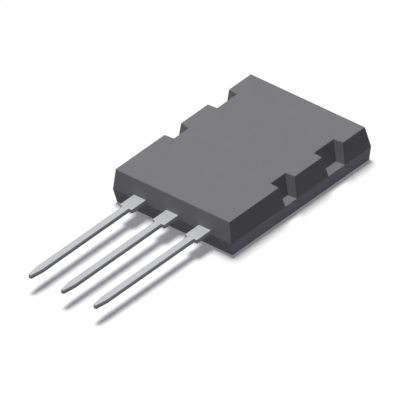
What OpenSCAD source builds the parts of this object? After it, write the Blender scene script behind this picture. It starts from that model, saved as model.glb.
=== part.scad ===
// Power transistor in a large moulded package with three flat leads and no mounting hole.
// Millimetres. The origin is the middle of the mounting face, +Z goes up through the body
// and the leads point towards -Y.

/* [Moulded body] */
// Width of the body across the leads, at the parting line
body_w = 20; // [19.5:0.1:20.5]
// Length of the body along the leads, at the parting line
body_l = 26; // [25.5:0.1:27]
// Height of the body from its mounting face to its clamped face
body_h = 5; // [4.8:0.1:5.3]
// Height of the parting line, where the leads come out and the notches end
parting_z = 2; // [1.9:0.05:2.2]
// Draft of the outside walls, in degrees, above and below the parting line
wall_draft = 7.6; // [5:0.1:10]

/* [Side notches] */
// How far the floor of a notch goes in from the parting line
notch_depth = 1.4; // [1:0.1:1.6]
// Width of the front pair of notches at the body's top edge
front_notch_w = 3; // [2.4:0.1:3.6]
// Place of the front pair along the body, negative towards the leads
front_notch_y = -1.95; // [-3:0.05:-1]
// Width of the rear pair of notches at the body's top edge
rear_notch_w = 3.9; // [3:0.1:4.5]
// Place of the rear pair along the body
rear_notch_y = 6.55; // [5:0.05:8]
// Draft of the notch walls, in degrees
notch_draft = 9; // [5:0.5:12]
// Angle at which the end walls of a notch spread outwards, in degrees
notch_splay = 4; // [0:0.5:8]

/* [Leads] */
// Distance from one lead to the next
lead_pitch = 5.45; // [5.3:0.01:5.6]
// Thickness of the lead metal
lead_t = 0.6; // [0.5:0.05:0.7]
// Length of a lead outside the body
lead_l = 20.4; // [18:0.1:22]
// Width of a lead's straight shank
shank_w = 1; // [0.8:0.05:1.4]
// Width of a lead's root, next to the body
root_w = 2; // [1.6:0.1:2.6]
// Length of a lead's root outside the body
root_l = 2.5; // [2:0.1:4]
// Width of a lead's cut end
tip_w = 0.45; // [0.3:0.05:0.7]
// Length of the taper at a lead's end
tip_l = 1.85; // [1:0.05:3]

/* [Bond flags] */
// Thickness of moulding in front of the flags, which are the leads' ends inside the body
flag_cover = 1.1; // [0.8:0.1:1.5]
// Length of a flag along the lead
flag_l = 2.4; // [2.2:0.1:2.8]
// Width of the gate lead's flag
gate_flag_w = 3.2; // [2.8:0.1:3.8]
// Width of the emitter lead's flag
emitter_flag_w = 5.2; // [5:0.1:5.8]
// Corner radius of the flags
flag_r = 0.3; // [0.1:0.05:0.5]
// Diameter of the holes through the flags, which the moulding fills and locks in
lock_hole_d = 0.8; // [0.5:0.05:0.9]
// Distance from a lock hole's centre to the flag's two nearest edges
lock_hole_edge = 0.65; // [0.6:0.05:0.8]
// Gap between the flags and the header
flag_gap = 0.7; // [0.6:0.1:1.2]

/* [Copper header] */
// Width of the header's bare face on the underside
pad_w = 16.2; // [14:0.1:16.6]
// Length of the header's bare face
pad_l = 20.4; // [18:0.1:20.8]
// Thickness of the header
header_t = 2; // [1.8:0.05:2.1]
// Corner radius of the header
pad_r = 0.6; // [0.3:0.1:1.5]
// How far the lock lip stands out round the header
lip_out = 0.4; // [0.2:0.05:0.5]
// Height of the lock lip's underside above the mounting face
lip_z = 0.8; // [0.5:0.05:1]
// Thickness of the lock lip
lip_t = 0.6; // [0.3:0.05:0.8]
// Width of the centre lead where it joins the header
neck_w = 3.6; // [2.6:0.1:4.4]
// Slope of the jog that lifts the centre lead to the parting line, in degrees
jog_angle = 35; // [25:1:45]
// Length of flat metal between the header and the jog
jog_back = 0.6; // [0.3:0.1:1]

/* [Die] */
// Width of the silicon die
die_w = 12.4; // [10:0.1:13]
// Length of the silicon die
die_l = 13.2; // [10:0.1:14]
// Thickness of the silicon die
die_t = 0.35; // [0.2:0.05:0.5]
// Place of the die's centre along the body
die_y = 0.4; // [-0.5:0.1:1.5]
// Thickness of the solder under the die
solder_t = 0.1; // [0.05:0.01:0.15]
// How far the solder's fillet spreads past the die
solder_spread = 0.2; // [0.1:0.05:0.4]
// Distance from the die's edge to the middle of the coined moat
moat_offset = 0.9; // [0.7:0.05:1.2]
// Width of the moat at the header's top face
moat_w = 0.4; // [0.2:0.05:0.6]
// Width of the moat at its bottom
moat_floor_w = 0.1; // [0.05:0.01:0.15]
// Depth of the moat
moat_depth = 0.15; // [0.05:0.01:0.25]

/* [Bond wires] */
// Number of heavy wires between the emitter lead and the die
emitter_wires = 6; // [4:1:6]
// Diameter of a heavy wire
emitter_wire_d = 0.4; // [0.3:0.05:0.45]
// Distance between the heavy wires on the emitter lead
post_pitch = 0.8; // [0.7:0.05:0.85]
// Distance between the heavy wires at their first stitch on the die
stitch_pitch = 1.1; // [0.8:0.05:1.2]
// Place across the die of the middle of the first stitches
stitch_x = 3.2; // [2:0.1:3.4]
// Distance from the die's front edge to the first stitches
stitch_inset = 1.8; // [1.2:0.1:2.5]
// Length of the second loop, from the first stitch to the second
second_loop_l = 4.2; // [3:0.1:5]
// Height of the first loop above its feet
first_loop_h = 1.2; // [0.9:0.05:1.4]
// Height of the second loop above its feet
second_loop_h = 0.9; // [0.6:0.05:1.2]
// Diameter of the gate wire
gate_wire_d = 0.2; // [0.15:0.01:0.25]
// Distance from the gate lead's middle to the gate wire's foot, to the right
gate_post_x = 0.5; // [0:0.1:0.8]
// Distance from the die's left edge to the gate wire's foot
gate_pad_x = 1; // [0.6:0.1:2]
// Distance from the die's front edge to the gate wire's foot
gate_pad_y = 0.9; // [0.6:0.1:1.5]
// Height of the gate wire's loop above its feet
gate_loop_h = 0.9; // [0.6:0.05:1.2]
// Distance from a flag's inner edge to the feet of the wires on it
foot_inset = 0.7; // [0.6:0.05:0.8]

/* [Hidden] */
$fn = 48;

mould_grey = [0.50, 0.50, 0.51];
tin = [0.78, 0.79, 0.80];
solder_grey = [0.58, 0.58, 0.60];
silicon = [0.30, 0.32, 0.38];
bond_aluminium = [0.85, 0.85, 0.86];

// Larger than any part of the model: the size of cutting blocks
reach = 2 * (body_l + lead_l);

// Where the body's walls stand at its top and at its underside
upper_h = body_h - parting_z;
top_inset = upper_h * tan(wall_draft);
base_inset = parting_z * tan(wall_draft);

// Heights that stack up from the mounting face
die_seat_z = header_t + solder_t;
die_top_z = die_seat_z + die_t;
lead_top_z = parting_z + lead_t;

// Places along the body, from its front towards its rear
front_y = -body_l / 2;
tip_y = front_y - lead_l;
flag_front_y = front_y + flag_cover;
flag_rear_y = flag_front_y + flag_l;
pad_front_y = flag_rear_y + flag_gap;
pad_y = pad_front_y + pad_l / 2;
post_foot_y = flag_rear_y - foot_inset;
die_front_y = die_y - die_l / 2;
stitch_y = die_front_y + stitch_inset;

// The jog's sheet keeps its thickness, so each bend is mitred by this much
jog_drop = parting_z + lead_t - header_t;
jog_run = jog_drop / tan(jog_angle);
jog_mitre = lead_t * tan(jog_angle / 2);
jog_low_y = pad_front_y - jog_back - jog_mitre;
jog_high_y = jog_low_y - jog_run;

// A wire's foot is flattened by the bonding tool: wider and lower than the wire.
// These are shares of the wire's diameter.
foot_w_ratio = 1.35;
foot_l_ratio = 2.4;
foot_h_ratio = 0.6;
// How high the wire's centre line runs over the bonded face at a foot
heel_ratio = 0.35;
// How far the centre line goes on down before it is cut, enough to bury the whole round wire
dip_ratio = 0.6;

// Solid with four flat tapered walls, between a lower and an upper rectangle
module tapered_block(low_w, low_l, high_w, high_l, h) {
    intersection() {
        rotate([90, 0, 0])
            linear_extrude(2 * max(low_l, high_l), center = true)
                polygon([[-low_w / 2, 0], [low_w / 2, 0], [high_w / 2, h], [-high_w / 2, h]]);
        rotate([90, 0, 90])
            linear_extrude(2 * max(low_w, high_w), center = true)
                polygon([[-low_l / 2, 0], [low_l / 2, 0], [high_l / 2, h], [-high_l / 2, h]]);
    }
}

// Section of the body across its width or length, widest at the parting line
module waisted_section(width) {
    half = width / 2;
    polygon([
        [-half + base_inset, 0], [half - base_inset, 0], [half, parting_z],
        [half - top_inset, body_h], [-half + top_inset, body_h], [-half, parting_z]
    ]);
}

module waisted_block() {
    intersection() {
        rotate([90, 0, 0]) linear_extrude(2 * body_l, center = true) waisted_section(body_w);
        rotate([90, 0, 90]) linear_extrude(2 * body_w, center = true) waisted_section(body_l);
    }
}

// Space of one notch in the body's right side, centred on y = 0, with drafted and splayed walls
module notch(width) {
    floor_x = body_w / 2 - notch_depth;
    edge_x = body_w / 2 - top_inset;
    end_tilt = -atan(tan(notch_draft) * cos(notch_splay));
    intersection() {
        translate([0, -reach, parting_z]) cube([reach, 2 * reach, body_h]);
        translate([floor_x, 0, parting_z])
            rotate([0, -notch_draft, 0])
                translate([0, -reach, -reach]) cube(2 * reach);
        intersection_for (side = [0, 1])
            mirror([0, side, 0])
                translate([edge_x, width / 2, body_h])
                    rotate([end_tilt, 0, notch_splay])
                        translate([-reach, -2 * reach, -reach]) cube(2 * reach);
    }
}

module all_notches() {
    for (side = [0, 1]) mirror([side, 0, 0]) {
        translate([0, front_notch_y, 0]) notch(front_notch_w);
        translate([0, rear_notch_y, 0]) notch(rear_notch_w);
    }
}

module rounded_plate(width, length, r) {
    square([width - 2 * r, length], center = true);
    square([width, length - 2 * r], center = true);
    for (x = [-1, 1], y = [-1, 1])
        translate([x * (width / 2 - r), y * (length / 2 - r)]) circle(r);
}

// Plan of a lead from its tapered tip to inner_y, centred on x = 0
module lead_plan(inner_y) {
    shoulder_y = front_y - root_l;
    taper_y = tip_y + tip_l;
    polygon([
        [tip_w / 2, tip_y], [shank_w / 2, taper_y], [shank_w / 2, shoulder_y],
        [root_w / 2, shoulder_y], [root_w / 2, inner_y], [-root_w / 2, inner_y],
        [-root_w / 2, shoulder_y], [-shank_w / 2, shoulder_y], [-shank_w / 2, taper_y], [-tip_w / 2, tip_y]
    ]);
}

// Flat lead with a wide flag inside the body; hole_sides gives the ends of the flag that are holed
module flagged_lead(x, flag_w, hole_sides) {
    flag_y = flag_front_y + flag_l / 2;
    translate([x, 0, parting_z]) linear_extrude(lead_t) difference() {
        union() {
            lead_plan(flag_y);
            translate([0, flag_y]) rounded_plate(flag_w, flag_l, flag_r);
        }
        for (side = hole_sides)
            translate([side * (flag_w / 2 - lock_hole_edge), flag_front_y + lock_hole_edge])
                circle(d = lock_hole_d);
    }
}

module gate_lead() color(tin) flagged_lead(-lead_pitch, gate_flag_w, [-1]);

module emitter_lead() color(tin) flagged_lead(lead_pitch, emitter_flag_w, [-1, 1]);

// Side view of the centre lead: straight at the parting line, then jogged down to the header's top
module jogged_section() {
    low_z = header_t - lead_t;
    joined_y = pad_y;
    polygon([
        [tip_y, parting_z], [jog_high_y, parting_z], [jog_low_y, low_z], [joined_y, low_z],
        [joined_y, header_t], [jog_low_y + jog_mitre, header_t],
        [jog_high_y + jog_mitre, lead_top_z], [tip_y, lead_top_z]
    ]);
}

// Centre lead, which widens to its neck over the length of the jog
module centre_lead() {
    intersection() {
        rotate([90, 0, 90]) linear_extrude(2 * neck_w, center = true) jogged_section();
        linear_extrude(body_h) union() {
            lead_plan(jog_high_y);
            polygon([
                [root_w / 2, jog_high_y], [neck_w / 2, jog_low_y], [neck_w / 2, pad_y],
                [-neck_w / 2, pad_y], [-neck_w / 2, jog_low_y], [-root_w / 2, jog_high_y]
            ]);
        }
    }
}

// Groove coined round the die, which stops the solder and keys the moulding
module moat() {
    mid_w = die_w + 2 * moat_offset;
    mid_l = die_l + 2 * moat_offset;
    translate([0, die_y, header_t - moat_depth]) difference() {
        tapered_block(mid_w + moat_floor_w, mid_l + moat_floor_w, mid_w + moat_w, mid_l + moat_w, moat_depth);
        tapered_block(mid_w - moat_floor_w, mid_l - moat_floor_w, mid_w - moat_w, mid_l - moat_w, moat_depth);
    }
}

module collector_frame() color(tin) difference() {
    union() {
        translate([0, pad_y, 0]) linear_extrude(header_t) rounded_plate(pad_w, pad_l, pad_r);
        translate([0, pad_y, lip_z])
            linear_extrude(lip_t)
                rounded_plate(pad_w + 2 * lip_out, pad_l + 2 * lip_out, pad_r + lip_out);
        centre_lead();
    }
    moat();
}

module die_attach() color(solder_grey)
    translate([0, die_y, header_t])
        tapered_block(die_w + 2 * solder_spread, die_l + 2 * solder_spread, die_w, die_l, solder_t);

module silicon_die() color(silicon)
    translate([0, die_y, die_seat_z + die_t / 2]) cube([die_w, die_l, die_t], center = true);

// Flattened foot of a wire of diameter d, lying along +X on the plane z = 0, with round ends
module wire_foot(d) {
    foot_w = foot_w_ratio * d;
    straight_l = foot_l_ratio * d - foot_w;
    linear_extrude(foot_h_ratio * d) {
        square([straight_l, foot_w], center = true);
        for (end = [-1, 1]) translate([end * straight_l / 2, 0]) circle(d = foot_w);
    }
}

// Arch of wire from the origin to [span, 0, drop], cut flat where it meets the two bonded faces
module wire_loop(d, span, drop, loop_h) {
    chord = norm([span, drop]);
    tilt = atan2(drop, span);
    r = (chord * chord / 4 + loop_h * loop_h) / (2 * loop_h);
    half_angle = asin(chord / 2 / r);
    // Extra turn at both ends, so that the arch's ends lie wholly under the bonded faces
    extra_angle = atan((heel_ratio + dip_ratio) * d / r / sin(half_angle));
    difference() {
        rotate([0, -tilt, 0])
            translate([chord / 2, 0, loop_h - r + heel_ratio * d])
                rotate([90, 0, 0])
                    rotate([0, 0, 90 - half_angle - extra_angle])
                        rotate_extrude(angle = 2 * (half_angle + extra_angle))
                            translate([r, 0]) circle(d = d);
        translate([-span / 2, -reach / 2, -reach]) cube([span, reach, reach]);
        translate([span / 2, -reach / 2, drop - reach]) cube([span, reach, reach]);
    }
}

// Wire of diameter d, from a foot at the origin through one foot at the end of each loop.
// A loop is [span, drop, height], and all feet lie on one line in plan, as a wedge tool leaves them.
module stitched_wire(d, loops, first = 0) {
    wire_foot(d);
    if (first < len(loops)) {
        loop = loops[first];
        wire_loop(d, loop[0], loop[1], loop[2]);
        translate([loop[0], 0, loop[1]]) stitched_wire(d, loops, first + 1);
    }
}

module emitter_wire(i) color(bond_aluminium) {
    place = i - (emitter_wires + 1) / 2;
    post = [lead_pitch + place * post_pitch, post_foot_y];
    stitch = [stitch_x + place * stitch_pitch, stitch_y];
    run = stitch - post;
    translate([post.x, post.y, lead_top_z])
        rotate([0, 0, atan2(run.y, run.x)])
            stitched_wire(emitter_wire_d, [
                [norm(run), die_top_z - lead_top_z, first_loop_h],
                [second_loop_l, 0, second_loop_h]
            ]);
}

module gate_wire() color(bond_aluminium) {
    post = [gate_post_x - lead_pitch, post_foot_y];
    gate_pad = [gate_pad_x - die_w / 2, die_front_y + gate_pad_y];
    run = gate_pad - post;
    translate([post.x, post.y, lead_top_z])
        rotate([0, 0, atan2(run.y, run.x)])
            stitched_wire(gate_wire_d, [[norm(run), die_top_z - lead_top_z, gate_loop_h]]);
}

// The moulding fills everything between its skin and the pieces that were in the mould
module molded_body() color(mould_grey) difference() {
    waisted_block();
    all_notches();
    collector_frame();
    gate_lead();
    emitter_lead();
    die_attach();
    silicon_die();
    gate_wire();
    for (i = [1 : emitter_wires]) emitter_wire(i);
}

molded_body();
collector_frame();
gate_lead();
emitter_lead();
die_attach();
silicon_die();
gate_wire();
for (i = [1 : emitter_wires])
    emitter_wire(i);
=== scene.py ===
"""Dresses a moulded three-lead power transistor: its shell, leadframe, chip, finishes and studio."""

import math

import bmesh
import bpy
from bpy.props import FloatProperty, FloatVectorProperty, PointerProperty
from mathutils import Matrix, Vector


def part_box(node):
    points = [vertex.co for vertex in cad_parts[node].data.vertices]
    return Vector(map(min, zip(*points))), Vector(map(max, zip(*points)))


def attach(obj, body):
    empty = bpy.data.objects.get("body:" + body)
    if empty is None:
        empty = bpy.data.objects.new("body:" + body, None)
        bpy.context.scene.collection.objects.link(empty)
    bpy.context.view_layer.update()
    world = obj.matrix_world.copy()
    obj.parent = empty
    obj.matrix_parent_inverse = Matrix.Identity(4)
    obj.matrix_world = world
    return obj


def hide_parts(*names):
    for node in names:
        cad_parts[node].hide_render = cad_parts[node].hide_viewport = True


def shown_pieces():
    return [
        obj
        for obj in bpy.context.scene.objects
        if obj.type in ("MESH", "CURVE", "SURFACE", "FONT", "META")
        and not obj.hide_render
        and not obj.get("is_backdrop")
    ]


bl_info = {
    "name": "Moulded Power Transistor",
    "version": (1, 0, 0),
    "blender": (4, 5, 0),
    "location": "View3D > Sidebar > Transistor",
    "description": "Models and finishes a holeless power transistor around its construction model",
    "category": "Object",
}

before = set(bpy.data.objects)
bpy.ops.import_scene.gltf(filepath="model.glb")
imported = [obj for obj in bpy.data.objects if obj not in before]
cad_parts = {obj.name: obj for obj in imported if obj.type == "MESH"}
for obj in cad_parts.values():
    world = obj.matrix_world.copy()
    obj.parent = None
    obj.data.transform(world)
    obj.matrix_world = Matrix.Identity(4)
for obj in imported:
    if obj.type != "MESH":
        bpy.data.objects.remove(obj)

MM = 0.001
# Lengths closer than this count as the same place
TINY = 0.001 * MM
# Face areas closer than this count as the same size
SAME_AREA = (0.1 * MM) ** 2
# Edges sharper than this are rounded, and shaded as edges
FOLD = math.radians(40)

# Flat steps that make up a rounded edge, a flag's corner, a slab's corner and a hole
EDGE_STEPS = 3
FLAG_CORNER_STEPS = 6
SLAB_CORNER_STEPS = 8
HOLE_STEPS = 32

BODY_LOW, BODY_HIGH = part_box("molded_body")
COLLECTOR_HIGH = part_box("collector_frame")[1]
GATE_LOW, GATE_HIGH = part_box("gate_lead")
EMITTER_LOW, EMITTER_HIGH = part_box("emitter_lead")
DIE_LOW, DIE_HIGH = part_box("silicon_die")
# The outer leads are flat, so they give the underside and the thickness of the leads' strip
LEAD_Z = GATE_LOW.z
LEAD_T = GATE_HIGH.z - GATE_LOW.z

WIRES = ["gate_wire", *sorted(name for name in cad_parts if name.startswith("emitter_wire_"))]
IN_THE_MOULD = ["collector_frame", "gate_lead", "emitter_lead", "die_attach", "silicon_die", *WIRES]


def linear(hex_colour):
    """The linear RGBA of an sRGB hex colour such as #7f7f81."""
    shares = [int(hex_colour[i:i + 2], 16) / 255 for i in (1, 3, 5)]
    return (*[s / 12.92 if s <= 0.04045 else ((s + 0.055) / 1.055) ** 2.4 for s in shares], 1.0)


def length(name, description, millimetres):
    """A size that a user may change, given here in millimetres."""
    return FloatProperty(name=name, description=description, default=millimetres * MM,
                         min=0.0, precision=3, unit="LENGTH", subtype="DISTANCE")


def place(name, description, millimetres):
    """A place along an axis, which may be negative, given here in millimetres."""
    return FloatProperty(name=name, description=description, default=millimetres * MM,
                         precision=3, unit="LENGTH", subtype="DISTANCE")


def angle(name, description, degrees):
    """An angle that a user may change, given here in degrees."""
    return FloatProperty(name=name, description=description, default=math.radians(degrees),
                         unit="ROTATION", subtype="ANGLE")


def colour(name, description, hex_colour):
    """A colour that a user may change, given here as sRGB hex."""
    return FloatVectorProperty(name=name, description=description, default=linear(hex_colour),
                               size=4, min=0.0, max=1.0, subtype="COLOR")


def strength(name, description, share):
    """A strength, where 1 lights a white surface to plain white."""
    return FloatProperty(name=name, description=description, default=share,
                         min=0.0, soft_max=2.0, subtype="FACTOR")


# Settings that a user would change


class MouldingSettings(bpy.types.PropertyGroup):
    """Sizes and colour of the epoxy moulding."""

    parting_height: length("Parting height", "Height at which the two halves of the mould met", 2.0)
    wall_draft: angle("Wall draft", "Slope of the outside walls, above and below the parting line", 7.6)
    notch_depth: length("Notch depth", "How far a notch goes in from the parting line", 1.4)
    notch_draft: angle("Notch draft", "Slope of the walls of a notch", 9.0)
    notch_splay: angle("Notch splay", "Angle at which the end walls of a notch spread outwards", 4.0)
    front_notch_width: length("Front notch width", "Width of the front notches at the top edge", 3.0)
    front_notch_place: place("Front notch place", "Place of the front notches along the body", -1.95)
    rear_notch_width: length("Rear notch width", "Width of the rear notches at the top edge", 3.9)
    rear_notch_place: place("Rear notch place", "Place of the rear notches along the body", 6.55)
    edge_radius: length("Edge radius", "Rounding that a worn-in mould leaves on its edges", 0.1)
    shade: colour("Compound", "Colour of the grey moulding compound", "#767678")


class LeadSettings(bpy.types.PropertyGroup):
    """Sizes and colour of the three stamped leads."""

    shank_width: length("Shank width", "Width of a lead's straight shank", 1.0)
    root_width: length("Root width", "Width of a lead's root, next to the body", 2.0)
    root_length: length("Root length", "Length of a lead's root outside the body", 2.5)
    tip_width: length("Tip width", "Width of a lead's cut end", 0.45)
    tip_length: length("Tip length", "Length of the taper at a lead's end", 1.85)
    flag_cover: length("Flag cover", "Moulding in front of the flags inside the body", 1.1)
    flag_radius: length("Flag radius", "Corner radius of the flags", 0.3)
    lock_hole: length("Lock hole", "Diameter of the holes that lock a flag in the moulding", 0.8)
    lock_hole_edge: length("Lock hole edge", "Distance from a lock hole to the flag's edges", 0.65)
    edge_radius: length("Edge radius", "Rounding of the stamped edges under their plating", 0.035)
    plating: colour("Tin plating", "Colour of the matt tin plating", "#c2c3c5")


class HeaderSettings(bpy.types.PropertyGroup):
    """Sizes of the copper header and of the jog that joins it to the centre lead."""

    thickness: length("Thickness", "Thickness of the header slab", 2.0)
    corner_radius: length("Corner radius", "Corner radius of the header", 0.6)
    lip_out: length("Lip width", "How far the lock lip stands out round the header", 0.4)
    lip_height: length("Lip height", "Height of the lock lip's underside", 0.8)
    lip_thickness: length("Lip thickness", "Thickness of the lock lip", 0.6)
    neck_width: length("Neck width", "Width of the centre lead where it joins the header", 3.6)
    flag_gap: length("Flag gap", "Gap between the flags and the header", 0.7)
    jog_angle: angle("Jog angle", "Slope of the jog that lifts the centre lead", 35.0)
    jog_back: length("Jog setback", "Flat metal between the header and the jog", 0.6)
    moat_offset: length("Moat offset", "Distance from the die to the middle of the moat", 0.9)
    moat_width: length("Moat width", "Width of the moat at the header's top", 0.4)
    moat_floor: length("Moat floor", "Width of the moat at its bottom", 0.1)
    moat_depth: length("Moat depth", "Depth of the moat", 0.15)
    edge_radius: length("Edge radius", "Rounding of the header's stamped edges", 0.06)


class ChipSettings(bpy.types.PropertyGroup):
    """Colours of the die, its solder and its wires, and the size of the die's pad."""

    solder: colour("Solder", "Colour of the solder under the die", "#949599")
    silicon: colour("Silicon", "Colour of the bare silicon round the pad", "#4d525c")
    pad: colour("Pad", "Colour of the aluminium pad on the die", "#b9babc")
    pad_rim: length("Pad rim", "Bare silicon between the pad and the die's edge", 0.5)
    wire: colour("Wire", "Colour of the bond wires", "#d6d7d9")


class StudioSettings(bpy.types.PropertyGroup):
    """Lamps, table and camera."""

    key: strength("Key", "Lamp on the object, from above, the left and a little in front", 0.93)
    key_size: angle("Key size", "Angle that the key lamp fills, which spreads its glint on metal", 20.0)
    back_fill: strength("Back fill", "Low lamp behind the object, for views from the back", 0.3)
    table_key: strength("Table key", "Lamp on the table from above, which throws the shadow", 0.82)
    sky: strength("Sky", "Even light from the whole room", 0.11)
    bounce: strength("Bounce", "Light thrown up by the table on the right", 0.55)
    table_glow: strength("Table glow", "Light of the table itself, which keeps it white to the eye", 0.12)
    softness: angle("Softness", "Angle that the table's lamp fills, which softens the shadow", 22.0)
    frame_width: length("Frame width", "Width of the view at the object", 49.72)
    azimuth: angle("Azimuth", "How far the camera stands round to the right from the front", 45.0)
    elevation: angle("Elevation", "How far the camera looks down, here as in an isometric view", 35.2644)
    roll: angle("Roll", "How far the camera is turned about its own line of sight", -5.0702)


# Modelling by operators


def clear_selection():
    """Deselects every object, because an operator acts on all that is selected."""
    bpy.ops.object.select_all(action="DESELECT")


def make_active(piece):
    clear_selection()
    piece.select_set(True)
    bpy.context.view_layer.objects.active = piece


def adopt(name):
    """Names the primitive just added and moves its place and size into its mesh."""
    piece = bpy.context.object
    piece.name = name
    piece.data.name = name
    bpy.ops.object.transform_apply(location=True, rotation=True, scale=True)
    return piece


def add_block(name, low, high):
    """A block between two corners."""
    clear_selection()
    low = Vector(low)
    high = Vector(high)
    bpy.ops.mesh.primitive_cube_add(size=1, location=(low + high) / 2, scale=high - low)
    return adopt(name)


def add_sheet(name, low, high, z):
    """A flat rectangle between two corners, at one height."""
    clear_selection()
    centre = ((low[0] + high[0]) / 2, (low[1] + high[1]) / 2, z)
    bpy.ops.mesh.primitive_plane_add(size=1, location=centre)
    bpy.context.object.scale = (high[0] - low[0], high[1] - low[1], 1)
    return adopt(name)


def editing(piece):
    make_active(piece)
    bpy.ops.object.mode_set(mode="EDIT")


def done_editing():
    bpy.ops.object.mode_set(mode="OBJECT")


def pick(kind, test):
    """In edit mode, selects the verts, edges or faces that pass the test, and no others."""
    bpy.ops.mesh.select_mode(type=kind)
    bpy.ops.mesh.select_all(action="DESELECT")
    mesh = bpy.context.object.data
    shape = bmesh.from_edit_mesh(mesh)
    parts = {"VERT": shape.verts, "EDGE": shape.edges, "FACE": shape.faces}[kind]
    chosen = [part for part in parts if test(part)]
    if not chosen:
        raise RuntimeError(f"{bpy.context.object.name}: nothing to select where the shape should go on")
    for part in chosen:
        part.select_set(True)
    shape.select_flush_mode()
    bmesh.update_edit_mesh(mesh)


def pick_edges(low, high):
    """Selects the edges that lie wholly inside a box of x and y."""
    def inside(edge):
        return all(
            low[i] - TINY < vert.co[i] < high[i] + TINY
            for vert in edge.verts
            for i in (0, 1)
        )
    pick("EDGE", inside)


def extrude(step):
    bpy.ops.mesh.extrude_region_move(TRANSFORM_OT_translate={"value": step})


def resize(shares, centre):
    bpy.ops.transform.resize(value=shares, center_override=centre)


def cut(point, normal, keep_behind=False):
    """Cuts the whole mesh along a plane; with keep_behind, what lies in front of it goes."""
    bpy.ops.mesh.select_all(action="SELECT")
    bpy.ops.mesh.bisect(plane_co=point, plane_no=normal, use_fill=keep_behind, clear_outer=keep_behind)


def apply_modifier(piece, kind, **settings):
    make_active(piece)
    modifier = piece.modifiers.new(kind.title(), kind)
    for name, value in settings.items():
        setattr(modifier, name, value)
    bpy.ops.object.modifier_apply(modifier=modifier.name)


def combine(piece, other, operation):
    """Adds other to piece or cuts it out, and removes other."""
    apply_modifier(piece, "BOOLEAN", operation=operation, solver="MANIFOLD", object=other)
    bpy.data.objects.remove(other)


def round_edges(piece, radius, stays=lambda edge: False):
    """Rounds the edges that are sharper than a fold, apart from those that stay."""
    editing(piece)
    pick("EDGE", lambda edge: edge.calc_face_angle() > FOLD and not stays(edge))
    bpy.ops.mesh.bevel(offset=radius, segments=EDGE_STEPS, affect="EDGES")
    done_editing()


def shade(piece):
    """Shades rounded edges smoothly; where a flat face meets them, its own direction counts."""
    make_active(piece)
    bpy.ops.object.shade_smooth_by_angle(angle=FOLD)
    apply_modifier(piece, "WEIGHTED_NORMAL", keep_sharp=True, weight=100, thresh=SAME_AREA)


def face_outwards(piece):
    editing(piece)
    bpy.ops.mesh.select_all(action="SELECT")
    bpy.ops.mesh.normals_make_consistent(inside=False)
    done_editing()


def copy_of_node(name):
    """A closed, merged copy of a node of the construction model, to cut with."""
    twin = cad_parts[name].copy()
    twin.data = twin.data.copy()
    twin.name = "cutter_" + name
    twin.parent = None
    bpy.context.scene.collection.objects.link(twin)
    editing(twin)
    bpy.ops.mesh.select_all(action="SELECT")
    bpy.ops.mesh.remove_doubles(threshold=TINY / 10)
    done_editing()
    return twin


def bury_feet(wire):
    """Lowers a wire's flat feet into what they stand on, so that the two cut one pocket."""
    sink = 0.1 * MM

    def foot(face):
        faces_down = face.normal.z < -0.99
        height = face.calc_center_median().z
        on_flag = abs(height - GATE_HIGH.z) < TINY
        on_die = abs(height - DIE_HIGH.z) < TINY
        return faces_down and (on_flag or on_die)

    editing(wire)
    pick("FACE", foot)
    bpy.ops.transform.translate(value=(0, 0, -sink))
    done_editing()
    return wire


def place_piece(piece, material, slot, *nodes):
    """Finishes a piece: its material, its body, and the construction nodes that it stands for."""
    piece.data.materials.clear()
    piece.data.materials.append(material)
    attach(piece, "root")
    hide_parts(*nodes)


def finish_node(name, material):
    """Gives a node of the construction model, whose shape stays, its material."""
    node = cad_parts[name]
    node.data.materials.clear()
    node.data.materials.append(material)


# Materials


def in_use(sockets, name=None):
    """The first socket that the node's settings leave in use, of this name where one is given."""
    return next(socket for socket in sockets if socket.enabled and name in (None, socket.name))


def add_node(tree, kind, inputs=None, **settings):
    """Adds a node with its settings; a socket, by its name or number, gets a value or a link.

    A link comes from a socket, or from a node, whose first output then counts.
    """
    node = tree.nodes.new(kind)
    for name, value in settings.items():
        setattr(node, name, value)
    for name, value in (inputs or {}).items():
        socket = node.inputs[name] if isinstance(name, int) else in_use(node.inputs, name)
        if isinstance(value, bpy.types.Node):
            value = in_use(value.outputs)
        if isinstance(value, bpy.types.NodeSocket):
            tree.links.new(value, socket)
        else:
            socket.default_value = value
    return node


def empty_tree(owner):
    """The node tree of a new material or world, without the nodes that it starts with."""
    owner.use_nodes = True
    owner.node_tree.nodes.clear()
    return owner.node_tree


def new_material(name):
    """A new material with its empty tree and the object's own coordinates."""
    material = bpy.data.materials.new(name)
    tree = empty_tree(material)
    where = add_node(tree, "ShaderNodeTexCoord").outputs["Object"]
    return material, tree, where


def add_finish(tree, inputs):
    """Ends a material's tree with its shader, whose sockets get these values and links."""
    shader = add_node(tree, "ShaderNodeBsdfPrincipled", inputs)
    add_node(tree, "ShaderNodeOutputMaterial", {"Surface": shader})


def grain(tree, where, size, detail=2.0, stretch=(1, 1, 1)):
    """Noise from 0 to 1 whose grains have this size in metres, made longer along an axis by stretch."""
    scale = [1 / size / longer for longer in stretch]
    placed = add_node(tree, "ShaderNodeMapping", {"Vector": where, "Scale": scale}, vector_type="POINT")
    inputs = {"Vector": placed, "Scale": 1.0, "Detail": detail, "Roughness": 0.55}
    return add_node(tree, "ShaderNodeTexNoise", inputs)


def noise_to(low, high):
    """The ends of a range map that takes most values of a noise, 0.3 to 0.7, to these two."""
    return {"From Min": 0.3, "From Max": 0.7, "To Min": low, "To Max": high}


def toned(tree, base, *tones):
    """A base colour times tones near 1 that change over the surface."""
    result = base[:3]
    for tone in tones:
        result = add_node(tree, "ShaderNodeVectorMath", {0: result, "Scale": tone}, operation="SCALE")
    return result


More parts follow.
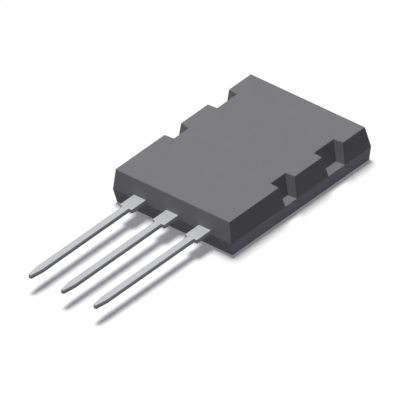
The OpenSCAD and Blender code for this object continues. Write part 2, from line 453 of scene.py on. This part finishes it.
def flatness(tree):
    """1 on faces that look straight up or down, 0 on upright ones."""
    normal = add_node(tree, "ShaderNodeTexCoord").outputs["Normal"]
    upward = add_node(tree, "ShaderNodeSeparateXYZ", {"Vector": normal}).outputs["Z"]
    lying = add_node(tree, "ShaderNodeMath", {0: upward}, operation="ABSOLUTE")
    return add_node(tree, "ShaderNodeMapRange", {"Value": lying, "From Min": 0.35, "From Max": 0.85})


def smooth_band(tree, where):
    """1 in the upper part of a sheared side, which the die cut smoothly, and 0 below, where it tore."""
    torn_top = LEAD_Z + 0.6 * LEAD_T
    half_change = 0.05 * MM
    height = add_node(tree, "ShaderNodeSeparateXYZ", {"Vector": where}).outputs["Z"]
    ends = {"From Min": torn_top - half_change, "From Max": torn_top + half_change}
    return add_node(tree, "ShaderNodeMapRange", {"Value": height, **ends})


def moulded_epoxy(base):
    """Epoxy moulding compound filled with fused silica, from a spark-eroded mould.

    The filler makes it stone-like and quite matt, with faint light flecks; the mould's
    texture breaks up the little gloss that it has.
    """
    material, tree, where = new_material("moulded_epoxy_compound")
    # The real filler is about 0.05 mm; drawn at 0.12 mm so that it shows at all
    flecks = grain(tree, where, 0.12 * MM, detail=1.0)
    cloud = grain(tree, where, 3.0 * MM)
    spark = grain(tree, where, 0.2 * MM, detail=3.0)
    fleck_ends = {"From Min": 0.3, "From Max": 0.75, "To Min": 0.965, "To Max": 1.045}
    fleck_tone = add_node(tree, "ShaderNodeMapRange", {"Value": flecks, **fleck_ends})
    cloud_tone = add_node(tree, "ShaderNodeMapRange", {"Value": cloud, **noise_to(0.985, 1.015)})
    add_finish(tree, {
        "Base Color": toned(tree, base, fleck_tone, cloud_tone),
        "Roughness": add_node(tree, "ShaderNodeMapRange", {"Value": spark, **noise_to(0.68, 0.8)}),
        "Normal": add_node(tree, "ShaderNodeBump", {"Height": spark, "Distance": 0.012 * MM}),
        "Specular IOR Level": 0.25,
    })
    return material


def matt_tin(base):
    """Electroplated matt tin on stamped copper strip.

    The crystals of the plating scatter light softly and rolling lines of the strip run along
    the leads. The sides were sheared by the die: a smooth band under the top edge, then the
    darker, coarser band where the metal tore. All upright sides are also painted darker than
    the tops, as painted shade for the dim light that falls on them.
    """
    material, tree, where = new_material("matt_tin_plating")
    # Real tin grains are about 0.005 mm; drawn at 0.06 mm so that they show
    crystals = grain(tree, where, 0.06 * MM)
    lines = grain(tree, where, 0.08 * MM, stretch=(1, 60, 1))
    tears = grain(tree, where, 0.07 * MM, stretch=(1, 1, 5))
    patches = grain(tree, where, 1.6 * MM, detail=3.0)
    flat = flatness(tree)
    smooth = smooth_band(tree, where)

    # Painted shade: upright sheared sides are painted darker than the rolled faces for the dim light
    # they get; the torn band is darker still, which is the metal's own duller look
    sheared_tone_and_shade = add_node(tree, "ShaderNodeMapRange", {"Value": smooth, "To Min": 0.58, "To Max": 0.7})
    tear_tone = add_node(tree, "ShaderNodeMapRange", {"Value": tears, **noise_to(0.93, 1.07)})
    sheared = add_node(tree, "ShaderNodeMath", {0: sheared_tone_and_shade, 1: tear_tone}, operation="MULTIPLY")
    crystal_tone = add_node(tree, "ShaderNodeMapRange", {"Value": crystals, **noise_to(0.97, 1.03)})
    line_tone = add_node(tree, "ShaderNodeMapRange", {"Value": lines, **noise_to(0.97, 1.03)})
    rolled = add_node(tree, "ShaderNodeMath", {0: crystal_tone, 1: line_tone}, operation="MULTIPLY")
    tone = add_node(tree, "ShaderNodeMix", {"Factor": flat, "A": sheared, "B": rolled})

    side_rough = add_node(tree, "ShaderNodeMapRange", {"Value": smooth, "To Min": 0.7, "To Max": 0.5})
    top_rough = add_node(tree, "ShaderNodeMapRange", {"Value": patches, **noise_to(0.42, 0.56)})
    roughness = add_node(tree, "ShaderNodeMix", {"Factor": flat, "A": side_rough, "B": top_rough})

    marks = add_node(tree, "ShaderNodeMix", {"Factor": flat, "A": tears, "B": lines})
    marked = add_node(tree, "ShaderNodeBump", {"Height": marks, "Distance": 0.004 * MM})
    crystal_bump = {"Height": crystals, "Distance": 0.003 * MM, "Normal": marked}
    add_finish(tree, {
        "Base Color": toned(tree, base, tone),
        "Roughness": roughness,
        "Normal": add_node(tree, "ShaderNodeBump", crystal_bump),
        "Metallic": 0.2,
        "Specular IOR Level": 0.1,
    })
    return material


def soft_solder(base):
    """Reflowed lead-rich solder, dull and slightly frosted."""
    material, tree, where = new_material("soft_solder")
    frost = grain(tree, where, 0.15 * MM, detail=3.0)
    tone = add_node(tree, "ShaderNodeMapRange", {"Value": frost, **noise_to(0.9, 1.08)})
    add_finish(tree, {
        "Base Color": toned(tree, base, tone),
        "Roughness": add_node(tree, "ShaderNodeMapRange", {"Value": frost, **noise_to(0.35, 0.5)}),
        "Normal": add_node(tree, "ShaderNodeBump", {"Height": frost, "Distance": 0.006 * MM}),
        "Metallic": 0.9,
    })
    return material


def polished_silicon(silicon, pad, rim):
    """Polished silicon with a sputtered aluminium pad on top, cut by a saw at its sides."""
    material, tree, where = new_material("polished_silicon")
    speckle = grain(tree, where, 0.1 * MM)
    centre = (DIE_LOW + DIE_HIGH) / 2
    half = (DIE_HIGH - DIE_LOW) / 2
    parts = add_node(tree, "ShaderNodeSeparateXYZ", {"Vector": where}).outputs
    within = []
    for axis, middle, reach in (("X", centre.x, half.x), ("Y", centre.y, half.y)):
        offset = add_node(tree, "ShaderNodeMath", {0: parts[axis], 1: middle}, operation="SUBTRACT")
        away = add_node(tree, "ShaderNodeMath", {0: offset}, operation="ABSOLUTE")
        within.append(add_node(tree, "ShaderNodeMath", {0: away, 1: reach - rim}, operation="LESS_THAN"))
    on_pad = add_node(tree, "ShaderNodeMath", {0: within[0], 1: within[1]}, operation="MULTIPLY")
    colours = {"Factor": on_pad, "A": silicon, "B": pad}
    add_finish(tree, {
        "Base Color": add_node(tree, "ShaderNodeMix", colours, data_type="RGBA"),
        "Roughness": add_node(tree, "ShaderNodeMapRange", {"Value": speckle, **noise_to(0.12, 0.3)}),
        "Metallic": 1.0,
    })
    return material


def drawn_aluminium(base):
    """Soft drawn aluminium wire, bright, with fine lines from the die that drew it."""
    material, tree, where = new_material("drawn_aluminium_wire")
    lines = grain(tree, where, 0.03 * MM, stretch=(1, 20, 1))
    tone = add_node(tree, "ShaderNodeMapRange", {"Value": lines, **noise_to(0.94, 1.05)})
    add_finish(tree, {
        "Base Color": toned(tree, base, tone),
        "Roughness": add_node(tree, "ShaderNodeMapRange", {"Value": lines, **noise_to(0.22, 0.36)}),
        "Normal": add_node(tree, "ShaderNodeBump", {"Height": lines, "Distance": 0.001 * MM}),
        "Metallic": 1.0,
    })
    return material


# The moulding


def draft(sizes, height):
    """How far a wall leans in over a height."""
    return height * math.tan(sizes.wall_draft)


def notch_cutter(sizes, side, along, width):
    """The space of one notch: a block cut by the notch's floor and its two end walls."""
    top_edge = BODY_HIGH.x - draft(sizes, BODY_HIGH.z - sizes.parting_height)
    floor = BODY_HIGH.x - sizes.notch_depth
    margin = 2 * MM
    outer = BODY_HIGH.x + margin
    block = add_block(
        "notch_cutter",
        (min(side * outer, 0), along - width, sizes.parting_height),
        (max(side * outer, 0), along + width, BODY_HIGH.z + margin),
    )
    lean = math.tan(sizes.notch_draft)
    spread = math.tan(sizes.notch_splay)
    editing(block)
    # The floor faces outwards and leans in towards the top
    cut((side * floor, along, sizes.parting_height), (-side, 0, -lean), keep_behind=True)
    for end in (-1, 1):
        corner = (side * top_edge, along + end * width / 2, BODY_HIGH.z)
        cut(corner, (-side * spread, end, -lean), keep_behind=True)
    done_editing()
    return block


def model_moulding(sizes):
    """The shell: a block parted, drafted, notched, hollowed for what it holds, and softened."""
    shell = add_block("moulded_shell", BODY_LOW, BODY_HIGH)
    body = BODY_HIGH - BODY_LOW
    top_inset = draft(sizes, body.z - sizes.parting_height)
    base_inset = draft(sizes, sizes.parting_height)
    editing(shell)
    cut((0, 0, sizes.parting_height), (0, 0, 1))
    pick("VERT", lambda vert: vert.co.z > sizes.parting_height + TINY)
    resize((1 - 2 * top_inset / body.x, 1 - 2 * top_inset / body.y, 1), (0, 0, 0))
    pick("VERT", lambda vert: vert.co.z < sizes.parting_height - TINY)
    resize((1 - 2 * base_inset / body.x, 1 - 2 * base_inset / body.y, 1), (0, 0, 0))
    done_editing()
    for side in (-1, 1):
        for along, width in (
            (sizes.front_notch_place, sizes.front_notch_width),
            (sizes.rear_notch_place, sizes.rear_notch_width),
        ):
            combine(shell, notch_cutter(sizes, side, along, width), "DIFFERENCE")

    def parting_line(edge):
        return all(abs(vert.co.z - sizes.parting_height) < TINY for vert in edge.verts)

    round_edges(shell, sizes.edge_radius, stays=parting_line)
    for name in IN_THE_MOULD:
        cutter = copy_of_node(name)
        if name in WIRES:
            bury_feet(cutter)
        combine(shell, cutter, "DIFFERENCE")
    editing(shell)
    pick("EDGE", parting_line)
    bpy.ops.mesh.mark_sharp()
    done_editing()
    shade(shell)
    return shell


# The leadframe


def lead_blank(sizes, name, x, rear_y):
    """The flat blank of a lead: its root, shank and tapered tip, up to rear_y inside the body."""
    shoulder_y = BODY_LOW.y - sizes.root_length
    taper_y = GATE_LOW.y + sizes.tip_length
    half_root = sizes.root_width / 2
    half_shank = sizes.shank_width / 2
    blank = add_sheet(name, (x - half_root, shoulder_y), (x + half_root, rear_y), LEAD_Z)
    editing(blank)
    for side in (-1, 1):
        cut((x + side * half_shank, 0, 0), (1, 0, 0))
    pick_edges((x - half_shank, shoulder_y), (x + half_shank, shoulder_y))
    extrude((0, taper_y - shoulder_y, 0))
    extrude((0, -sizes.tip_length, 0))
    resize((sizes.tip_width / sizes.shank_width, 1, 1), (x, GATE_LOW.y, LEAD_Z))
    done_editing()
    return blank


def thicken(piece):
    """Gives a flat or folded blank the strip's thickness, upwards, with mitred folds."""
    editing(piece)
    bpy.ops.mesh.select_all(action="SELECT")
    bpy.ops.mesh.remove_doubles(threshold=TINY)
    bpy.ops.mesh.normals_make_consistent(inside=False)
    shape = bmesh.from_edit_mesh(piece.data)
    if sum(face.normal.z for face in shape.faces) < 0:
        bpy.ops.mesh.flip_normals()
    done_editing()
    apply_modifier(piece, "SOLIDIFY", thickness=LEAD_T, offset=1.0, use_even_offset=True)


def model_flagged_lead(sizes, name, low, high, hole_sides):
    """An outer lead with the flag that its bond wires stand on."""
    x = (low.x + high.x) / 2
    flag_y = BODY_LOW.y + sizes.flag_cover
    half_root = sizes.root_width / 2
    lead = lead_blank(sizes, name, x, flag_y)
    editing(lead)
    pick_edges((x - half_root, flag_y), (x + half_root, flag_y))
    extrude((0, high.y - flag_y, 0))
    for side, edge_x in ((-1, low.x), (1, high.x)):
        root_x = x + side * half_root
        pick_edges((root_x, flag_y), (root_x, high.y))
        extrude((edge_x - root_x, 0, 0))

    def flag_corner(vert):
        return vert.co.y > flag_y - TINY and min(vert.co.x - low.x, high.x - vert.co.x) < TINY

    pick("VERT", flag_corner)
    bpy.ops.mesh.bevel(offset=sizes.flag_radius, segments=FLAG_CORNER_STEPS, affect="VERTICES")
    done_editing()
    thicken(lead)
    round_edges(lead, sizes.edge_radius)
    for side in hole_sides:
        edge_x = high.x if side > 0 else low.x
        clear_selection()
        bpy.ops.mesh.primitive_cylinder_add(
            vertices=HOLE_STEPS, radius=sizes.lock_hole / 2, depth=4 * LEAD_T,
            location=(edge_x - side * sizes.lock_hole_edge, flag_y + sizes.lock_hole_edge, LEAD_Z),
        )
        combine(lead, adopt("lock_hole_cutter"), "DIFFERENCE")
    shade(lead)
    return lead


def rounded_slab(name, half_w, low_y, high_y, radius, low_z, high_z):
    """A slab with rounded corners."""
    slab = add_sheet(name, (-half_w, low_y), (half_w, high_y), low_z)
    editing(slab)
    bpy.ops.mesh.select_all(action="SELECT")
    bpy.ops.mesh.bevel(offset=radius, segments=SLAB_CORNER_STEPS, affect="VERTICES")
    bpy.ops.mesh.select_all(action="SELECT")
    extrude((0, 0, high_z - low_z))
    done_editing()
    face_outwards(slab)
    return slab


def tapered_slab(name, centre_y, low_size, high_size, low_z, high_z):
    """A slab whose width and length change evenly from its bottom to its top."""
    slab = add_block(
        name,
        (-high_size[0] / 2, centre_y - high_size[1] / 2, low_z),
        (high_size[0] / 2, centre_y + high_size[1] / 2, high_z),
    )
    editing(slab)
    pick("VERT", lambda vert: vert.co.z < low_z + TINY)
    resize((low_size[0] / high_size[0], low_size[1] / high_size[1], 1), (0, centre_y, low_z))
    done_editing()
    return slab


def cut_moat(header, sizes):
    """The coined groove round the die, which stops the solder and keys the moulding."""
    centre_y = (DIE_LOW.y + DIE_HIGH.y) / 2
    middle = [DIE_HIGH[i] - DIE_LOW[i] + 2 * sizes.moat_offset for i in (0, 1)]
    floor_z = sizes.thickness - sizes.moat_depth

    def ring_block(side):
        return tapered_slab(
            "moat_cutter", centre_y,
            [size + side * sizes.moat_floor for size in middle],
            [size + side * sizes.moat_width for size in middle],
            floor_z, sizes.thickness,
        )

    groove = ring_block(1)
    combine(groove, ring_block(-1), "DIFFERENCE")
    combine(header, groove, "DIFFERENCE")


def model_centre_lead(leads, sizes, pad_front_y):
    """The centre lead: a blank that goes on down the jog, widens and runs into the header."""
    overlap = 1.0 * MM
    drop = LEAD_Z + LEAD_T - sizes.thickness
    mitre = LEAD_T * math.tan(sizes.jog_angle / 2)
    low_y = pad_front_y - sizes.jog_back - mitre
    high_y = low_y - drop / math.tan(sizes.jog_angle)
    half_root = leads.root_width / 2
    lead = lead_blank(leads, "centre_lead", 0, high_y)
    editing(lead)
    pick_edges((-half_root, high_y), (half_root, high_y))
    extrude((0, low_y - high_y, -drop))
    resize((sizes.neck_width / leads.root_width, 1, 1), (0, low_y, LEAD_Z - drop))
    extrude((0, pad_front_y + overlap - low_y, 0))
    done_editing()
    thicken(lead)
    round_edges(lead, leads.edge_radius)
    return lead


def model_collector_frame(leads, sizes):
    """The header slab with its lock lip and moat, and the centre lead that is one piece with it."""
    pad_w = COLLECTOR_HIGH.x - sizes.lip_out
    pad_low = GATE_HIGH.y + sizes.flag_gap
    pad_high = COLLECTOR_HIGH.y - sizes.lip_out
    header = rounded_slab(
        "header_and_centre_lead", pad_w, pad_low, pad_high, sizes.corner_radius, 0, sizes.thickness,
    )
    round_edges(header, sizes.edge_radius)
    lip = rounded_slab(
        "lock_lip", pad_w + sizes.lip_out, pad_low - sizes.lip_out, pad_high + sizes.lip_out,
        sizes.corner_radius + sizes.lip_out, sizes.lip_height, sizes.lip_height + sizes.lip_thickness,
    )
    combine(header, lip, "UNION")
    cut_moat(header, sizes)
    combine(header, model_centre_lead(leads, sizes, pad_low), "UNION")
    shade(header)
    return header


# The studio


def add_sun(name, comes_from, share, lit, tint="#ffffff", softness=0.0, shadow=True, glint=True):
    """A sun that lights the objects in lit alone.

    It comes from a direction that points to it, and a share of 1 lights a white surface
    that faces it to plain white.
    """
    lamp = bpy.data.lights.new(name, "SUN")
    lamp.energy = share * math.pi
    lamp.color = linear(tint)[:3]
    lamp.angle = softness
    lamp.use_shadow = shadow
    # Broad light from a room or a table leaves no glint, and each renderer has its own switch for it
    lamp.specular_factor = 1.0 if glint else 0.0
    sun = bpy.data.objects.new(name, lamp)
    sun.visible_glossy = glint
    sun.rotation_euler = Vector(comes_from).to_track_quat("Z", "Y").to_euler()
    bpy.context.scene.collection.objects.link(sun)
    receivers = bpy.data.collections.new(name + "_lights")
    for piece in lit:
        receivers.objects.link(piece)
    sun.light_linking.receiver_collection = receivers


def add_lamps(settings, pieces, table):
    """Three lamps light the pieces without a shadow, and one throws their shadow on the table."""
    add_sun("key_lamp", (-0.32, -0.2, 0.926), settings.key, pieces,
            softness=settings.key_size, shadow=False)
    add_sun("back_fill", (0.0, 0.97, 0.1), settings.back_fill, pieces,
            shadow=False, glint=False)
    add_sun("table_bounce", (0.31, 0.0, -0.95), settings.bounce, pieces,
            tint="#f0eeff", shadow=False, glint=False)
    add_sun("table_lamp", (-0.22, 0.17, 1.0), settings.table_key, [table],
            softness=settings.softness)


def seen_directly(tree):
    """1 for rays from the camera, or from gloss or glass, and 0 for light that bounces."""
    path = add_node(tree, "ShaderNodeLightPath").outputs
    in_air = {0: path["Is Camera Ray"], 1: path["Is Glossy Ray"]}
    seen = add_node(tree, "ShaderNodeMath", in_air, operation="MAXIMUM")
    through_glass = {0: seen, 1: path["Is Transmission Ray"]}
    return add_node(tree, "ShaderNodeMath", through_glass, operation="MAXIMUM")


def table_material(glow):
    """Seamless white: white to the eye, with the object's shadow, but dim in what it throws back."""
    material = bpy.data.materials.new("white_table")
    tree = empty_tree(material)
    white = add_node(tree, "ShaderNodeBsdfDiffuse", {"Color": linear("#ffffff")})
    shine = add_node(tree, "ShaderNodeEmission", {"Strength": glow})
    seen = add_node(tree, "ShaderNodeAddShader", {0: white, 1: shine})
    thrown = add_node(tree, "ShaderNodeBsdfDiffuse", {"Color": linear("#3a3a3c")})
    mixed = add_node(tree, "ShaderNodeMixShader", {0: seen_directly(tree), 1: thrown, 2: seen})
    add_node(tree, "ShaderNodeOutputMaterial", {"Surface": mixed})
    return material


def add_table(glow):
    """The table, just under the mounting face, and so wide that its edge never shows."""
    half = 3.0
    gap = 0.02 * MM
    table = add_sheet("table", (-half, -half), (half, half), BODY_LOW.z - gap)
    table.data.materials.append(table_material(glow))
    table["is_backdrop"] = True
    return table


def light_room(sky):
    """White behind everything that is seen, and a dim even sky for what lights the object."""
    world = bpy.data.worlds.new("studio")
    bpy.context.scene.world = world
    tree = empty_tree(world)
    direct = seen_directly(tree)
    level = add_node(tree, "ShaderNodeMapRange", {"Value": direct, "To Min": sky, "To Max": 1.0})
    back = add_node(tree, "ShaderNodeBackground", {"Color": linear("#ffffff"), "Strength": level})
    add_node(tree, "ShaderNodeOutputWorld", {"Surface": back})


def add_camera(settings):
    """Looks down on the front right corner, without perspective."""
    aim = Vector((0.418, -8.276, 2.0)) * MM
    distance = 400 * MM
    camera = bpy.data.cameras.new("camera")
    camera.type = "ORTHO"
    camera.ortho_scale = settings.frame_width
    camera.clip_start = 1 * MM
    camera.clip_end = 20.0
    eye = bpy.data.objects.new("camera", camera)
    # An unturned camera looks straight down, with its top to the back of the object
    round_object = Matrix.Rotation(settings.azimuth, 4, "Z")
    upright = Matrix.Rotation(math.pi / 2 - settings.elevation, 4, "X")
    tilt = Matrix.Rotation(settings.roll, 4, "Z")
    back_off = Matrix.Translation((0, 0, distance))
    eye.matrix_world = Matrix.Translation(aim) @ round_object @ upright @ tilt @ back_off
    bpy.context.scene.collection.objects.link(eye)
    bpy.context.scene.camera = eye


# Operators


class TRANSISTOR_OT_moulding(bpy.types.Operator):
    """Model the drafted and notched moulding around the pieces that it holds"""

    bl_idname = "transistor.moulding"
    bl_label = "Moulding"

    def execute(self, context):
        sizes = context.scene.transistor_moulding
        shell = model_moulding(sizes)
        place_piece(shell, moulded_epoxy(sizes.shade), "mould_compound", "molded_body")
        return {"FINISHED"}


class TRANSISTOR_OT_leadframe(bpy.types.Operator):
    """Model the two outer leads, and the header with its centre lead"""

    bl_idname = "transistor.leadframe"
    bl_label = "Leadframe"

    def execute(self, context):
        leads = context.scene.transistor_leads
        tin = matt_tin(leads.plating)
        gate = model_flagged_lead(leads, "stamped_gate_lead", GATE_LOW, GATE_HIGH, [-1])
        emitter = model_flagged_lead(leads, "stamped_emitter_lead", EMITTER_LOW, EMITTER_HIGH, [-1, 1])
        collector = model_collector_frame(leads, context.scene.transistor_header)
        place_piece(gate, tin, "plated_copper", "gate_lead")
        place_piece(emitter, tin, "plated_copper", "emitter_lead")
        place_piece(collector, tin, "plated_copper", "collector_frame")
        return {"FINISHED"}


class TRANSISTOR_OT_chip(bpy.types.Operator):
    """Finish the silicon die, its solder and its bond wires, which keep their shape"""

    bl_idname = "transistor.chip"
    bl_label = "Chip and wires"

    def execute(self, context):
        chip = context.scene.transistor_chip
        finish_node("die_attach", soft_solder(chip.solder))
        finish_node("silicon_die", polished_silicon(chip.silicon, chip.pad, chip.pad_rim))
        wire = drawn_aluminium(chip.wire)
        for name in WIRES:
            finish_node(name, wire)
        return {"FINISHED"}


class TRANSISTOR_OT_studio(bpy.types.Operator):
    """Set up the white table, the lamps and the camera"""

    bl_idname = "transistor.studio"
    bl_label = "Studio"

    def execute(self, context):
        settings = context.scene.transistor_studio
        table = add_table(settings.table_glow)
        add_lamps(settings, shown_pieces(), table)
        light_room(settings.sky)
        add_camera(settings)
        context.scene.view_settings.view_transform = "Standard"
        return {"FINISHED"}


class TRANSISTOR_PT_tools(bpy.types.Panel):
    """Lists the steps that dress the transistor, each with its sizes and colours"""

    bl_idname = "TRANSISTOR_PT_tools"
    bl_label = "Power transistor"
    bl_space_type = "VIEW_3D"
    bl_region_type = "UI"
    bl_category = "Transistor"

    def draw(self, context):
        scene = context.scene
        for operator, groups in (
            (TRANSISTOR_OT_moulding, [scene.transistor_moulding]),
            (TRANSISTOR_OT_leadframe, [scene.transistor_leads, scene.transistor_header]),
            (TRANSISTOR_OT_chip, [scene.transistor_chip]),
            (TRANSISTOR_OT_studio, [scene.transistor_studio]),
        ):
            box = self.layout.box()
            box.operator(operator.bl_idname)
            for settings in groups:
                for name in settings.__annotations__:
                    box.prop(settings, name)


SETTINGS = {
    "transistor_moulding": MouldingSettings,
    "transistor_leads": LeadSettings,
    "transistor_header": HeaderSettings,
    "transistor_chip": ChipSettings,
    "transistor_studio": StudioSettings,
}
TOOLS = [
    TRANSISTOR_OT_moulding,
    TRANSISTOR_OT_leadframe,
    TRANSISTOR_OT_chip,
    TRANSISTOR_OT_studio,
    TRANSISTOR_PT_tools,
]


def register():
    for name, group in SETTINGS.items():
        bpy.utils.register_class(group)
        setattr(bpy.types.Scene, name, PointerProperty(type=group))
    for tool in TOOLS:
        bpy.utils.register_class(tool)


def unregister():
    for tool in reversed(TOOLS):
        bpy.utils.unregister_class(tool)
    for name, group in SETTINGS.items():
        delattr(bpy.types.Scene, name)
        bpy.utils.unregister_class(group)


def main():
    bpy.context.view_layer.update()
    register()
    bpy.ops.transistor.moulding()
    bpy.ops.transistor.leadframe()
    bpy.ops.transistor.chip()
    bpy.ops.transistor.studio()


if __name__ == "__main__":
    main()
